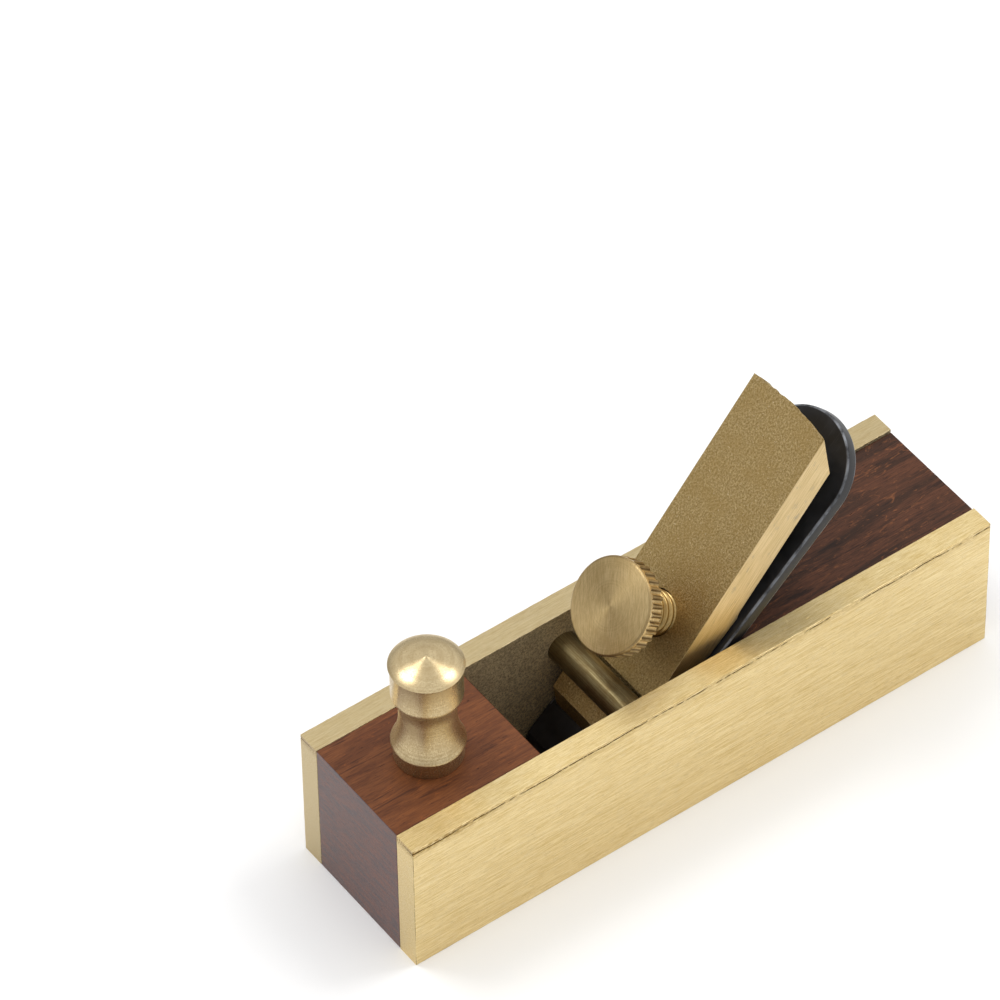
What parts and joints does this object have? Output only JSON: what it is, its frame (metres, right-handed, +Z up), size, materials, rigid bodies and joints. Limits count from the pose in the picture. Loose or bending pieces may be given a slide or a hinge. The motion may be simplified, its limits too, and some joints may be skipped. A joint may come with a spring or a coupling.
{
  "type": "miniature hand plane",
  "caption": "Small block plane: brass side plates on rosewood blocks, turned front knob, and a brass lever cap whose thumbscrew clamps a round-topped blade on a sloping bed.",
  "frame": {"origin": "centre of the sole's rectangle, on the surface that the plane rests on", "axes": "+X from the toe to the heel, +Y from the left side plate to the right one, +Z up"},
  "size_m": [0.089, 0.0234, 0.0484],
  "materials": {
    "plate_brass": "brushed lengthwise",
    "cast_brass": "matte as cast",
    "turned_brass": "satin turned",
    "rosewood": "satin oiled",
    "black_steel": "satin blackened"
  },
  "bodies": {
    "plane_body": {"left_side_plate": "plate_brass", "right_side_plate": "plate_brass", "toe_infill": "rosewood", "heel_infill": "rosewood", "cross_pin": "turned_brass", "toe_dowel_front": "turned_brass", "toe_dowel_rear": "turned_brass", "heel_dowel_front": "turned_brass", "heel_dowel_rear": "turned_brass", "front_knob": "turned_brass", "knob_stud": "black_steel"},
    "blade": {"blade": "black_steel"},
    "lever_cap": {"lever_cap": "cast_brass"},
    "thumbscrew_shank": {"thumbscrew_shank": "turned_brass"},
    "thumbscrew_head": {"thumbscrew_head": "turned_brass"}
  },
  "joints": [
    {"name": "blade_slide", "type": "slide", "parent": "plane_body", "child": "blade", "axis": [0.7314, 0, 0.682], "range_m": [-0.0008, 0.025]},
    {"name": "lever_cap_pivot", "type": "hinge", "parent": "plane_body", "child": "lever_cap", "pos_m": [-0.00724, 0, 0.01557], "axis": [0, 1, 0], "range_deg": [0, 1.1]},
    {"name": "thumbscrew_travel", "type": "slide", "parent": "lever_cap", "child": "thumbscrew_shank", "axis": [-0.766, 0, 0.6428], "range_m": [0, 0.003]},
    {"name": "thumbscrew_turn", "type": "hinge", "parent": "thumbscrew_shank", "child": "thumbscrew_head", "pos_m": [0.00107, 0, 0.02374], "axis": [-0.766, 0, 0.6428], "range_deg": [0, 1080]}
  ],
  "couplings": [
    {"joint": "thumbscrew_turn", "follows": "thumbscrew_travel", "rad_per_m": 6283.2}
  ]
}
